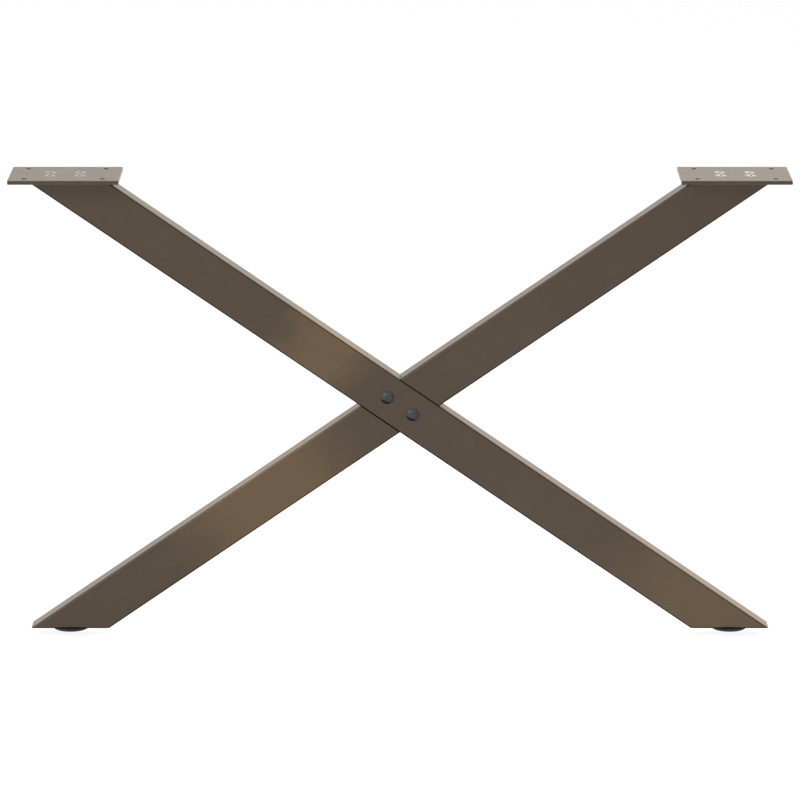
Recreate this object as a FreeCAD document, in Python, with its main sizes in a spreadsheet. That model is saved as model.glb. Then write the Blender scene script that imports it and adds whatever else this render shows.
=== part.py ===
# X shaped table leg: two crossed steel tubes, halved into each other and bolted at the crossing
import FreeCAD, Part
import math
import os
import Sketcher

# The leg stands on the floor at z = 0, spreads along X, and shows its front to -Y.
# The front-lap tube runs from upper left to lower right, the back-lap tube from upper right to lower left.

doc = FreeCAD.newDocument("x_table_leg")

# Sizes in millimetres, each with the words that say what it measures
SIZES = [
    ("plate_spread", 1030.0, "between the centres of the two top plates"),
    ("frame_height", 716.0, "lower tube ends to the underside of the top plates"),
    ("foot_spread", 1036.0, "between the centres of the two feet"),
    ("tube_width", 70.0, "face of the tube seen from the front"),
    ("tube_depth", 40.0, "front face to back face of the tube"),
    ("tube_wall", 2.0, "wall of the tube"),
    ("bore_corner_radius", 1.0, "inside corner of the tube section"),
    ("lap_gap", 0.3, "room between the halved tubes at the crossing"),
    ("lap_plate_thickness", 3.0, "plate that closes the notch of a tube"),
    ("weld_gap", 0.1, "room round a plate that is welded inside the tube"),
    ("plate_length", 170.0, "top plate along X"),
    ("plate_depth", 120.0, "top plate along Y"),
    ("plate_thickness", 6.0, "top plate"),
    ("plate_corner_radius", 2.5, "upright corners of the top plate"),
    ("plate_edge_chamfer", 0.5, "eased edges of the top plate"),
    ("fixing_hole_diameter", 8.0, "holes for the screws into the table top"),
    ("fixing_edge_x", 25.0, "fixing hole from the end of the top plate"),
    ("fixing_edge_y", 17.5, "fixing hole from the side of the top plate"),
    ("end_plate_thickness", 8.0, "tapped plate inside the upper tube end"),
    ("screw_diameter", 8.0, "countersunk screw of the top plate"),
    ("screw_head_diameter", 18.0, "countersunk head"),
    ("screw_end_length", 2.0, "screw past the tapped plate"),
    ("screw_spacing", 46.0, "plate screws along X"),
    ("screw_edge", 5.0, "plate screw from the inside face of the tube wall"),
    ("screw_socket_width", 5.0, "hexagon socket across its flats"),
    ("screw_socket_depth", 3.0, "hexagon socket"),
    ("screw_hole_gap", 0.5, "room round a screw or bolt in a plain hole"),
    ("seat_gap", 0.1, "room between a countersunk head and its seat"),
    ("thread_gap", 0.1, "room between a screw and its tapped hole"),
    ("bolt_diameter", 8.0, "cross bolt"),
    ("bolt_head_diameter", 20.6, "domed head"),
    ("bolt_head_height", 4.9, "domed head"),
    ("bolt_neck_step", 0.6, "square neck wider than the bolt"),
    ("bolt_neck_length", 4.5, "square neck under the head"),
    ("bolt_neck_gap", 0.2, "room round the square neck in its hole"),
    ("bolt_end_length", 2.5, "bolt past its nut"),
    ("bolt_spacing", 48.0, "cross bolts along the front-lap tube"),
    ("washer_diameter", 16.0, "washer of a cross bolt"),
    ("washer_thickness", 1.6, "washer of a cross bolt"),
    ("washer_gap", 0.2, "room round the bolt in its washer"),
    ("nut_width", 13.0, "nut of a cross bolt across its flats"),
    ("nut_height", 6.5, "nut of a cross bolt"),
    ("bottom_plate_thickness", 3.0, "plate that closes the lower tube end"),
    ("foot_nut_width", 17.0, "weld nut of a foot across its flats"),
    ("foot_nut_height", 8.0, "weld nut of a foot"),
    ("stem_diameter", 10.0, "threaded stem of a foot"),
    ("stem_thread_gap", 0.25, "room between a stem and its nut"),
    ("stem_reach", 13.0, "stem above its nut with the foot screwed home"),
    ("stem_chamfer", 1.0, "end of the stem"),
    ("flange_diameter", 24.0, "flange of the stem, sunk in the pad"),
    ("flange_thickness", 1.5, "flange of the stem"),
    ("flange_gap", 0.1, "room round the flange in the pad"),
    ("pad_diameter", 55.0, "foot pad"),
    ("pad_height", 3.5, "foot pad"),
    ("pad_edge_chamfer", 0.8, "eased rims of the foot pad"),
    ("foot_rest_gap", 0.5, "pad under the tube end with the foot screwed home"),
]

# Places that follow from the sizes
LAYOUT = [
    ("overall_width", "=Sizes.plate_spread + Sizes.plate_length"),
    ("half_plate_spread", "=Sizes.plate_spread / 2"),
    ("half_foot_spread", "=Sizes.foot_spread / 2"),
    ("tube_run", "=half_plate_spread + half_foot_spread"),
    ("tube_angle", "=atan(Sizes.frame_height / tube_run)"),
    ("tube_bottom", "=Sizes.pad_height + Sizes.foot_rest_gap"),
    ("tube_top", "=tube_bottom + Sizes.frame_height"),
    ("plate_top", "=tube_top + Sizes.plate_thickness"),
    ("cross_height", "=tube_bottom + Sizes.frame_height * half_foot_spread / tube_run"),
    ("blank_length", "=2 * Sizes.frame_height / sin(tube_angle) + 4 * Sizes.tube_width"),
    ("tube_corner_radius", "=Sizes.bore_corner_radius + Sizes.tube_wall"),
    ("bore_width", "=Sizes.tube_width - 2 * Sizes.tube_wall"),
    ("bore_depth", "=Sizes.tube_depth - 2 * Sizes.tube_wall"),
    ("notch_width", "=Sizes.tube_width + 2 * Sizes.lap_gap"),
    ("notch_shift", "=(Sizes.tube_depth - Sizes.lap_gap) / 2"),
    ("lap_plate_shift", "=(Sizes.lap_gap + Sizes.lap_plate_thickness) / 2"),
    ("half_fixing_x", "=Sizes.plate_length / 2 - Sizes.fixing_edge_x"),
    ("half_fixing_y", "=Sizes.plate_depth / 2 - Sizes.fixing_edge_y"),
    ("half_screw_x", "=Sizes.screw_spacing / 2"),
    ("half_screw_y", "=bore_depth / 2 - Sizes.screw_edge"),
    ("screw_length", "=Sizes.plate_thickness + Sizes.end_plate_thickness + Sizes.screw_end_length"),
    ("bolt_x", "=Sizes.bolt_spacing / 2 * cos(tube_angle)"),
    ("bolt_z", "=Sizes.bolt_spacing / 2 * sin(tube_angle)"),
    ("bolt_length", "=Sizes.tube_depth + Sizes.washer_thickness + Sizes.nut_height + Sizes.bolt_end_length"),
    ("washer_back", "=Sizes.tube_depth / 2 + Sizes.washer_thickness"),
    ("foot_nut_seat", "=tube_bottom + Sizes.bottom_plate_thickness"),
    ("stem_top", "=foot_nut_seat + Sizes.foot_nut_height + Sizes.stem_reach"),
    ("flange_seat", "=Sizes.pad_height - Sizes.flange_thickness"),
]

sizes = doc.addObject("Spreadsheet::Sheet", "Sizes")
for row, (alias, size, words) in enumerate(SIZES, start=1):
    sizes.set("A%d" % row, alias)
    sizes.set("B%d" % row, str(size))
    sizes.set("C%d" % row, words)
    sizes.setAlias("B%d" % row, alias)
doc.recompute()

layout = doc.addObject("Spreadsheet::Sheet", "Layout")
for row, (alias, formula) in enumerate(LAYOUT, start=1):
    layout.set("A%d" % row, alias)
    layout.set("B%d" % row, formula)
    layout.setAlias("B%d" % row, alias)
    doc.recompute()


def number(expression):
    """The present value of an expression, for the first drawing of a sketch."""
    result = sizes.evalExpression(expression)
    return float(getattr(result, "Value", result))


# Sketches

def sketch_on(body, role, name):
    """A new sketch on one of the body's own origin planes."""
    plane = [feature for feature in body.Origin.OriginFeatures if feature.Role == role][0]
    sketch = body.newObject("Sketcher::SketchObject", name)
    sketch.AttachmentSupport = (plane, [""])
    sketch.MapMode = "FlatFace"
    return sketch


def bind(sketch, constraint, name, expression):
    """Add a dimension to the sketch and tie it to an expression."""
    index = sketch.addConstraint(constraint)
    sketch.renameConstraint(index, name)
    sketch.setExpression("Constraints." + name, expression)


def bind_place(sketch, geometry, position, axis, name, expression):
    """Hold one coordinate of a point at a distance from the sketch's origin."""
    place = number(expression)
    kind = "DistanceX" if axis == "x" else "DistanceY"
    if abs(place) < 1e-9:
        line = -2 if axis == "x" else -1
        sketch.addConstraint(Sketcher.Constraint("PointOnObject", geometry, position, line))
    elif place > 0:
        bind(sketch, Sketcher.Constraint(kind, -1, 1, geometry, position, place), name, expression)
    else:
        turned_round = Sketcher.Constraint(kind, geometry, position, -1, 1, -place)
        bind(sketch, turned_round, name, "-(" + expression + ")")


def draw_rectangle(sketch, name, width, height, middle="0"):
    """A rectangle whose middle lies on the level axis of the sketch."""
    left = "%s - (%s) / 2" % (middle, width)
    low = "-(%s) / 2" % height
    corner_x = number(left)
    corner_y = number(low)
    across = number(width)
    upward = number(height)
    corners = [
        FreeCAD.Vector(corner_x, corner_y, 0),
        FreeCAD.Vector(corner_x + across, corner_y, 0),
        FreeCAD.Vector(corner_x + across, corner_y + upward, 0),
        FreeCAD.Vector(corner_x, corner_y + upward, 0),
    ]
    first = sketch.GeometryCount
    for index in range(4):
        sketch.addGeometry(Part.LineSegment(corners[index], corners[(index + 1) % 4]), False)
    for index in range(4):
        following = first + (index + 1) % 4
        sketch.addConstraint(Sketcher.Constraint("Coincident", first + index, 2, following, 1))
        direction = "Horizontal" if index % 2 == 0 else "Vertical"
        sketch.addConstraint(Sketcher.Constraint(direction, first + index))
    bind_place(sketch, first, 1, "x", name + "_left", left)
    bind_place(sketch, first, 1, "y", name + "_low", low)
    bind(sketch, Sketcher.Constraint("DistanceX", first, 1, first, 2, across), name + "_width", width)
    right_side = Sketcher.Constraint("DistanceY", first + 1, 1, first + 1, 2, upward)
    bind(sketch, right_side, name + "_height", height)


def draw_rounded_rectangle(sketch, name, width, height, radius):
    """A rectangle with rounded corners, centred on the sketch's origin."""
    half_width = number(width) / 2
    half_height = number(height) / 2
    rounding = number(radius)
    straight_x = half_width - rounding
    straight_y = half_height - rounding
    sides = [
        ((-straight_x, -half_height), (straight_x, -half_height)),
        ((half_width, -straight_y), (half_width, straight_y)),
        ((straight_x, half_height), (-straight_x, half_height)),
        ((-half_width, straight_y), (-half_width, -straight_y)),
    ]
    centres = [
        (straight_x, -straight_y),
        (straight_x, straight_y),
        (-straight_x, straight_y),
        (-straight_x, -straight_y),
    ]
    first = sketch.GeometryCount
    for index in range(4):
        (start_x, start_y), (end_x, end_y) = sides[index]
        start = FreeCAD.Vector(start_x, start_y, 0)
        end = FreeCAD.Vector(end_x, end_y, 0)
        sketch.addGeometry(Part.LineSegment(start, end), False)
        centre_x, centre_y = centres[index]
        circle = Part.Circle(FreeCAD.Vector(centre_x, centre_y, 0), FreeCAD.Vector(0, 0, 1), rounding)
        begin = (index - 1) * math.pi / 2
        sketch.addGeometry(Part.ArcOfCircle(circle, begin, begin + math.pi / 2), False)
    for index in range(4):
        line = first + 2 * index
        arc = line + 1
        following = first + (2 * index + 2) % 8
        sketch.addConstraint(Sketcher.Constraint("Tangent", line, 2, arc, 1))
        sketch.addConstraint(Sketcher.Constraint("Tangent", arc, 2, following, 1))
        direction = "Horizontal" if index % 2 == 0 else "Vertical"
        sketch.addConstraint(Sketcher.Constraint(direction, line))
        if index > 0:
            sketch.addConstraint(Sketcher.Constraint("Equal", first + 1, arc))
    sketch.addConstraint(Sketcher.Constraint("Symmetric", first + 1, 3, first + 5, 3, -1, 1))
    bind(sketch, Sketcher.Constraint("Radius", first + 1, rounding), name + "_radius", radius)
    across = Sketcher.Constraint("DistanceX", first + 6, 1, first + 2, 1, 2 * half_width)
    bind(sketch, across, name + "_width", width)
    upward = Sketcher.Constraint("DistanceY", first, 1, first + 4, 1, 2 * half_height)
    bind(sketch, upward, name + "_height", height)


def draw_four_circles(sketch, name, half_x, half_y, diameter):
    """Four equal circles at the corners of a rectangle round the sketch's origin."""
    first = sketch.GeometryCount
    radius = number(diameter) / 2
    signs = [("-", "-"), ("", "-"), ("", ""), ("-", "")]
    for index, (sign_x, sign_y) in enumerate(signs):
        place_x = sign_x + "(" + half_x + ")"
        place_y = sign_y + "(" + half_y + ")"
        centre = FreeCAD.Vector(number(place_x), number(place_y), 0)
        sketch.addGeometry(Part.Circle(centre, FreeCAD.Vector(0, 0, 1), radius), False)
        bind_place(sketch, first + index, 3, "x", "%s_x%d" % (name, index), place_x)
        bind_place(sketch, first + index, 3, "y", "%s_y%d" % (name, index), place_y)
        if index > 0:
            sketch.addConstraint(Sketcher.Constraint("Equal", first, first + index))
    bind(sketch, Sketcher.Constraint("Diameter", first, 2 * radius), name + "_diameter", diameter)


def draw_profile(sketch, corners):
    """A closed half-section beside the sketch's upright axis.

    Each corner is a pair of expressions. A corner with the word "arc" after the pair starts an arc
    about a point of the axis, and any other corner starts a straight line.
    """
    places = [(number(corner[0]), number(corner[1])) for corner in corners]
    starts = []
    ends = []
    for index, corner in enumerate(corners):
        here = places[index]
        there = places[(index + 1) % len(places)]
        if corner[2:] == ("arc",):
            square_here = here[0] ** 2 + here[1] ** 2
            square_there = there[0] ** 2 + there[1] ** 2
            height = (square_here - square_there) / (2 * (here[1] - there[1]))
            radius = math.hypot(here[0], here[1] - height)
            angle_here = math.atan2(here[1] - height, here[0])
            angle_there = math.atan2(there[1] - height, there[0])
            circle = Part.Circle(FreeCAD.Vector(0, height, 0), FreeCAD.Vector(0, 0, 1), radius)
            low = min(angle_here, angle_there)
            high = max(angle_here, angle_there)
            sketch.addGeometry(Part.ArcOfCircle(circle, low, high), False)
            starts.append((index, 1 if angle_here < angle_there else 2))
            ends.append((index, 2 if angle_here < angle_there else 1))
            sketch.addConstraint(Sketcher.Constraint("PointOnObject", index, 3, -2))
        else:
            start = FreeCAD.Vector(here[0], here[1], 0)
            end = FreeCAD.Vector(there[0], there[1], 0)
            sketch.addGeometry(Part.LineSegment(start, end), False)
            starts.append((index, 1))
            ends.append((index, 2))
    for index, corner in enumerate(corners):
        before = ends[index - 1]
        here = starts[index]
        sketch.addConstraint(Sketcher.Constraint("Coincident", before[0], before[1], here[0], here[1]))
        bind_place(sketch, here[0], here[1], "x", "x%d" % index, corner[0])
        bind_place(sketch, here[0], here[1], "y", "y%d" % index, corner[1])


# Solids

def place(thing, x="0", y="0", z="0", lean="", axis=FreeCAD.Vector(0, 1, 0)):
    """Bind the place of a solid, and its turn about one axis, to expressions."""
    if lean:
        thing.Placement = FreeCAD.Placement(FreeCAD.Vector(0, 0, 0), FreeCAD.Rotation(axis, number(lean)))
        thing.setExpression(".Placement.Rotation.Angle", lean)
    for letter, expression in (("x", x), ("y", y), ("z", z)):
        if expression != "0":
            thing.setExpression(".Placement.Base." + letter, expression)
    return thing


def new_body(label):
    """An empty body."""
    body = doc.addObject("PartDesign::Body", label)
    body.Label = label
    return body


def pad(body, sketch, length, both_ways=False, turned_round=False):
    """Extrude a sketch of the body."""
    feature = body.newObject("PartDesign::Pad", body.Name + "_pad")
    feature.Profile = sketch
    feature.SideType = "Symmetric" if both_ways else "One side"
    feature.Reversed = turned_round
    feature.setExpression("Length", length)
    doc.recompute()
    return feature


def turned(label, plane, corners):
    """A turned piece: a half-section revolved about the upright axis of its sketch."""
    body = new_body(label)
    sketch = sketch_on(body, plane, label + "_section")
    draw_profile(sketch, corners)
    feature = body.newObject("PartDesign::Revolution", label + "_turn")
    feature.Profile = sketch
    feature.ReferenceAxis = (sketch, ["V_Axis"])
    feature.Angle = 360
    doc.recompute()
    return body


def bar(label, depth, width, radius=""):
    """A straight bar along X, longer than any tube, with the section of depth by width."""
    body = new_body(label)
    sketch = sketch_on(body, "YZ_Plane", label + "_section")
    if radius:
        draw_rounded_rectangle(sketch, "bar", depth, width, radius)
    else:
        draw_rectangle(sketch, "bar", depth, width)
    pad(body, sketch, "Layout.blank_length", both_ways=True)
    return body


def slab(label, low, height):
    """A level slab, wider than the whole leg, that trims pieces between two heights."""
    box = doc.addObject("Part::Box", label)
    box.setExpression("Length", "2 * Layout.overall_width")
    box.setExpression("Width", "2 * Sizes.plate_depth")
    box.setExpression("Height", height)
    return place(box, x="-Layout.overall_width", y="-Sizes.plate_depth", z=low)


def cylinder(label, diameter, height, **where):
    """A round tool or pin."""
    solid = doc.addObject("Part::Cylinder", label)
    solid.setExpression("Radius", "(" + diameter + ") / 2")
    solid.setExpression("Height", height)
    return place(solid, **where)


def hexagon(label, width, height, **where):
    """A hexagonal prism, given across its flats."""
    solid = doc.addObject("Part::Prism", label)
    solid.Polygon = 6
    solid.setExpression("Circumradius", "(" + width + ") / 2 / cos(30)")
    solid.setExpression("Height", height)
    return place(solid, **where)


def common(label, base, tool):
    """What two solids share."""
    result = doc.addObject("Part::Common", label)
    result.Base = base
    result.Tool = tool
    result.Label = label
    return result


def cut(label, base, tool):
    """One solid less another."""
    result = doc.addObject("Part::Cut", label)
    result.Base = base
    result.Tool = tool
    result.Label = label
    return result


def group(label, members):
    """Separate solids of one kind, kept together."""
    result = doc.addObject("Part::Compound", label)
    result.Links = members
    result.Label = label
    return result


def mirrored(label, source):
    """The same piece on the other side of the leg."""
    result = doc.addObject("Part::Mirroring", label)
    result.Source = source
    result.Base = FreeCAD.Vector(0, 0, 0)
    result.Normal = FreeCAD.Vector(1, 0, 0)
    result.Label = label
    return result


ALONG_Y = FreeCAD.Vector(1, 0, 0)
FRONT_LEAN = "Layout.tube_angle"
BACK_LEAN = "-Layout.tube_angle"
BOLT_ENDS = [("upper", "-Layout.bolt_x", "Layout.cross_height + Layout.bolt_z"),
             ("lower", "Layout.bolt_x", "Layout.cross_height - Layout.bolt_z")]

# Tubes, cut level at both ends

frame_slab = slab("frame_slab", "Layout.tube_bottom", "Sizes.frame_height")


def tube_blank(label, lean):
    """A rectangular tube with rounded corners, leaning through the crossing."""
    body = new_body(label)
    sketch = sketch_on(body, "YZ_Plane", label + "_section")
    draw_rounded_rectangle(
        sketch, "outside", "Sizes.tube_depth", "Sizes.tube_width", "Layout.tube_corner_radius")
    draw_rounded_rectangle(
        sketch, "bore", "Layout.bore_depth", "Layout.bore_width", "Sizes.bore_corner_radius")
    pad(body, sketch, "Layout.blank_length", both_ways=True)
    return place(body, z="Layout.cross_height", lean=lean)


def notch_tool(label, lean, shift):
    """The room that one tube takes from half the depth of the other."""
    tool = bar(label, "Sizes.tube_depth", "Layout.notch_width")
    return place(tool, y=shift, z="Layout.cross_height", lean=lean)


# Round holes for the cross bolts, from inside the front wall out through the back
bolt_hole_tools = []
for end, bolt_x, bolt_z in BOLT_ENDS:
    bolt_hole_tools.append(cylinder(
        end + "_bolt_hole", "Sizes.bolt_diameter + 2 * Sizes.screw_hole_gap", "Sizes.tube_depth",
        x=bolt_x, y="-Sizes.tube_depth / 2 + Sizes.tube_wall + Sizes.bolt_neck_length / 2", z=bolt_z,
        lean="-90", axis=ALONG_Y))
bolt_holes = group("bolt_holes", bolt_hole_tools)

front_blank = tube_blank("front_lap_blank", FRONT_LEAN)
neck_sketch = sketch_on(front_blank, "XZ_Plane", "neck_holes")
neck_width = "Sizes.bolt_diameter + Sizes.bolt_neck_step + 2 * Sizes.bolt_neck_gap"
for end, side in (("upper", "-"), ("lower", "")):
    draw_rectangle(neck_sketch, end, neck_width, neck_width, middle=side + "Sizes.bolt_spacing / 2")
doc.recompute()
volume_before = front_blank.Shape.Volume
neck_pocket = front_blank.newObject("PartDesign::Pocket", "neck_pocket")
neck_pocket.Profile = neck_sketch
neck_pocket.Type = "ThroughAll"
neck_pocket.Reversed = True
doc.recompute()
neck_volume = volume_before - front_blank.Shape.Volume
neck_expected = 2 * number(neck_width) ** 2 * number("Sizes.tube_wall")
if abs(neck_volume - neck_expected) > 0.01 * neck_expected:
    raise RuntimeError("the square bolt holes cut %.1f, not %.1f" % (neck_volume, neck_expected))

front_trimmed = common("front_lap_trimmed", front_blank, frame_slab)
front_notch = notch_tool("front_lap_notch", BACK_LEAN, "Layout.notch_shift")
front_lap_tube = cut("front_lap_tube", front_trimmed, front_notch)

back_blank = tube_blank("back_lap_blank", BACK_LEAN)
back_trimmed = common("back_lap_trimmed", back_blank, frame_slab)
back_notch = notch_tool("back_lap_notch", FRONT_LEAN, "-Layout.notch_shift")
back_notched = cut("back_lap_notched", back_trimmed, back_notch)
back_lap_tube = cut("back_lap_tube", back_notched, bolt_holes)


# Plates that close the two notches and lie face to face at the crossing

def lap_plate(label, own_lean, other_lean, shift):
    """A plate inside the tube, level with the floor of its notch."""
    bore_room = "Layout.bore_width - 2 * Sizes.weld_gap"
    strip = bar(label + "_strip", "Sizes.lap_plate_thickness", bore_room)
    place(strip, y=shift, z="Layout.cross_height", lean=own_lean)
    across = bar(label + "_across", "Sizes.tube_depth", "Layout.notch_width")
    place(across, z="Layout.cross_height", lean=other_lean)
    blank = common(label + "_blank", strip, across)
    return cut(label, blank, bolt_holes)


front_lap_plate = lap_plate("front_lap_plate", FRONT_LEAN, BACK_LEAN, "-Layout.lap_plate_shift")
back_lap_plate = lap_plate("back_lap_plate", BACK_LEAN, FRONT_LEAN, "Layout.lap_plate_shift")

# Cross bolts with domed heads and square necks, their washers and nuts

cross_bolts = []
cross_washers = []
cross_nuts = []
for end, bolt_x, bolt_z in BOLT_ENDS:
    bolt = turned(end + "_cross_bolt", "XY_Plane", [
        ("0", "-Sizes.bolt_head_height", "arc"),
        ("Sizes.bolt_head_diameter / 2", "0"),
        ("Sizes.bolt_diameter / 2", "0"),
        ("Sizes.bolt_diameter / 2", "Layout.bolt_length"),
        ("0", "Layout.bolt_length"),
    ])
    neck = sketch_on(bolt, "XZ_Plane", end + "_bolt_neck")
    own_width = "Sizes.bolt_diameter + Sizes.bolt_neck_step"
    draw_rectangle(neck, "neck", own_width, own_width)
    pad(bolt, neck, "Sizes.bolt_neck_length", turned_round=True)
    cross_bolts.append(place(bolt, x=bolt_x, y="-Sizes.tube_depth / 2", z=bolt_z, lean=FRONT_LEAN))

    washer_bore = "Sizes.bolt_diameter / 2 + Sizes.washer_gap"
    washer = turned(end + "_cross_washer", "XY_Plane", [
        (washer_bore, "0"),
        ("Sizes.washer_diameter / 2", "0"),
        ("Sizes.washer_diameter / 2", "Sizes.washer_thickness"),
        (washer_bore, "Sizes.washer_thickness"),
    ])
    cross_washers.append(place(washer, x=bolt_x, y="Sizes.tube_depth / 2", z=bolt_z))

    nut_place = dict(x=bolt_x, y="Layout.washer_back", z=bolt_z, lean="-90", axis=ALONG_Y)
    nut_blank = hexagon(end + "_nut_blank", "Sizes.nut_width", "Sizes.nut_height", **nut_place)
    nut_thread = "Sizes.bolt_diameter + 2 * Sizes.thread_gap"
    nut_bore = cylinder(end + "_nut_bore", nut_thread, "Sizes.nut_height", **nut_place)
    cross_nuts.append(cut(end + "_cross_nut", nut_blank, nut_bore))

cross_bolt_pair = group("cross_bolts", cross_bolts)
cross_washer_pair = group("cross_bolt_washers", cross_washers)
cross_nut_pair = group("cross_bolt_nuts", cross_nuts)

# Top plate with its four fixing holes and four countersunk holes

left_top_plate = new_body("left_top_plate")
plate_sketch = sketch_on(left_top_plate, "XY_Plane", "plate_outline")
draw_rounded_rectangle(
    plate_sketch, "plate", "Sizes.plate_length", "Sizes.plate_depth", "Sizes.plate_corner_radius")
plate_pad = pad(left_top_plate, plate_sketch, "Sizes.plate_thickness", turned_round=True)
level_edges = []
for index, edge in enumerate(plate_pad.Shape.Edges, start=1):
    if edge.BoundBox.ZLength < 1e-6:
        level_edges.append("Edge%d" % index)
plate_easing = left_top_plate.newObject("PartDesign::Chamfer", "plate_easing")
plate_easing.Base = (plate_pad, level_edges)
plate_easing.setExpression("Size", "Sizes.plate_edge_chamfer")
doc.recompute()

fixing_sketch = sketch_on(left_top_plate, "XY_Plane", "fixing_holes")
draw_four_circles(
    fixing_sketch, "fixing", "Layout.half_fixing_x", "Layout.half_fixing_y", "Sizes.fixing_hole_diameter")
doc.recompute()
fixing_pocket = left_top_plate.newObject("PartDesign::Pocket", "fixing_pocket")
fixing_pocket.Profile = fixing_sketch
fixing_pocket.Type = "ThroughAll"
doc.recompute()

seat_sketch = sketch_on(left_top_plate, "XY_Plane", "screw_holes")
screw_clearance = "Sizes.screw_diameter + 2 * Sizes.screw_hole_gap"
draw_four_circles(seat_sketch, "screw", "Layout.half_screw_x", "Layout.half_screw_y", screw_clearance)
doc.recompute()
screw_seats = left_top_plate.newObject("PartDesign::Hole", "screw_seats")
screw_seats.Profile = seat_sketch
doc.recompute()
screw_seats.ThreadType = "None"
screw_seats.DepthType = "ThroughAll"
screw_seats.setExpression("Diameter", screw_clearance)
screw_seats.HoleCutType = "Countersink"
screw_seats.HoleCutCustomValues = True
screw_seats.setExpression("HoleCutDiameter", "Sizes.screw_head_diameter + 2 * Sizes.seat_gap")
screw_seats.HoleCutCountersinkAngle = 90
doc.recompute()
left_top_plate.Tip = screw_seats
place(left_top_plate, x="-Layout.half_plate_spread", z="Layout.plate_top")
right_top_plate = mirrored("right_top_plate", left_top_plate)

# Tapped plate inside the upper tube end, and the countersunk screws with hexagon sockets

bore_section = ("Layout.bore_depth - 2 * Sizes.weld_gap", "Layout.bore_width - 2 * Sizes.weld_gap",
                "Sizes.bore_corner_radius")
front_core = place(bar("front_lap_core", *bore_section), z="Layout.cross_height", lean=FRONT_LEAN)
upper_slab = slab("upper_slab", "Layout.tube_top - Sizes.end_plate_thickness", "Sizes.end_plate_thickness")
end_plate_blank = common("end_plate_blank", front_core, upper_slab)

plate_screws = []
tapped_tools = []
SCREW_CORNERS = [
    ("outer_front", "-", "-"),
    ("inner_front", "+", "-"),
    ("inner_back", "+", ""),
    ("outer_back", "-", ""),
]
for corner_name, sign_x, sign_y in SCREW_CORNERS:
    screw_x = "-Layout.half_plate_spread " + sign_x + " Layout.half_screw_x"
    screw_y = sign_y + "Layout.half_screw_y"
    shank = "Sizes.screw_diameter / 2"
    screw_body = turned(corner_name + "_screw_body", "XZ_Plane", [
        ("0", "0"),
        ("Sizes.screw_head_diameter / 2", "0"),
        (shank, "(Sizes.screw_diameter - Sizes.screw_head_diameter) / 2"),
        (shank, "-Layout.screw_length"),
        ("0", "-Layout.screw_length"),
    ])
    place(screw_body, x=screw_x, y=screw_y, z="Layout.plate_top")
    socket = hexagon(corner_name + "_socket", "Sizes.screw_socket_width", "2 * Sizes.screw_socket_depth",
                     x=screw_x, y=screw_y, z="Layout.plate_top - Sizes.screw_socket_depth")
    plate_screws.append(cut(corner_name + "_screw", screw_body, socket))
    tapped_tools.append(cylinder(
        corner_name + "_tapped_hole", "Sizes.screw_diameter + 2 * Sizes.thread_gap",
        "2 * Sizes.end_plate_thickness",
        x=screw_x, y=screw_y, z="Layout.tube_top - 1.5 * Sizes.end_plate_thickness"))

left_end_plate = cut("left_end_plate", end_plate_blank, group("tapped_holes", tapped_tools))
right_end_plate = mirrored("right_end_plate", left_end_plate)
left_plate_screws = group("left_plate_screws", plate_screws)
right_plate_screws = mirrored("right_plate_screws", left_plate_screws)

# Closing plate of the lower tube end, and the weld nut above it

back_core = place(bar("back_lap_core", *bore_section), z="Layout.cross_height", lean=BACK_LEAN)
lower_slab = slab("lower_slab", "Layout.tube_bottom", "Sizes.bottom_plate_thickness")
bottom_plate_blank = common("bottom_plate_blank", back_core, lower_slab)
stem_hole = cylinder(
    "stem_hole", "Sizes.stem_diameter + 2 * Sizes.screw_hole_gap",
    "2 * (Layout.tube_bottom + Sizes.bottom_plate_thickness)", x="-Layout.half_foot_spread")
left_bottom_plate = cut("left_bottom_plate", bottom_plate_blank, stem_hole)
right_bottom_plate = mirrored("right_bottom_plate", left_bottom_plate)

foot_nut_place = dict(x="-Layout.half_foot_spread", z="Layout.foot_nut_seat")
foot_nut_blank = hexagon("foot_nut_blank", "Sizes.foot_nut_width", "Sizes.foot_nut_height", **foot_nut_place)
foot_nut_bore = cylinder("foot_nut_bore", "Sizes.stem_diameter", "Sizes.foot_nut_height", **foot_nut_place)
left_foot_nut = cut("left_foot_nut", foot_nut_blank, foot_nut_bore)
right_foot_nut = mirrored("right_foot_nut", left_foot_nut)

# Levelling foot: a threaded stem whose flange is sunk in a round pad

stem_radius = "Sizes.stem_diameter / 2 - Sizes.stem_thread_gap"
left_foot_stem = turned("left_foot_stem", "XZ_Plane", [
    ("0", "Layout.flange_seat"),
    ("Sizes.flange_diameter / 2", "Layout.flange_seat"),
    ("Sizes.flange_diameter / 2", "Sizes.pad_height"),
    (stem_radius, "Sizes.pad_height"),
    (stem_radius, "Layout.stem_top - Sizes.stem_chamfer"),
    (stem_radius + " - Sizes.stem_chamfer", "Layout.stem_top"),
    ("0", "Layout.stem_top"),
])
place(left_foot_stem, x="-Layout.half_foot_spread")
right_foot_stem = mirrored("right_foot_stem", left_foot_stem)

pad_radius = "Sizes.pad_diameter / 2"
recess_radius = "Sizes.flange_diameter / 2 + Sizes.flange_gap"
left_foot_pad = turned("left_foot_pad", "XZ_Plane", [
    ("0", "0"),
    (pad_radius + " - Sizes.pad_edge_chamfer", "0"),
    (pad_radius, "Sizes.pad_edge_chamfer"),
    (pad_radius, "Sizes.pad_height - Sizes.pad_edge_chamfer"),
    (pad_radius + " - Sizes.pad_edge_chamfer", "Sizes.pad_height"),
    (recess_radius, "Sizes.pad_height"),
    (recess_radius, "Layout.flange_seat"),
    ("0", "Layout.flange_seat"),
])
place(left_foot_pad, x="-Layout.half_foot_spread")
right_foot_pad = mirrored("right_foot_pad", left_foot_pad)

# Check every piece, then write it

doc.recompute()
for thing in doc.Objects:
    if "Invalid" in thing.State or "Error" in thing.State:
        raise RuntimeError("%s failed to build: %s" % (thing.Label, thing.State))

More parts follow.
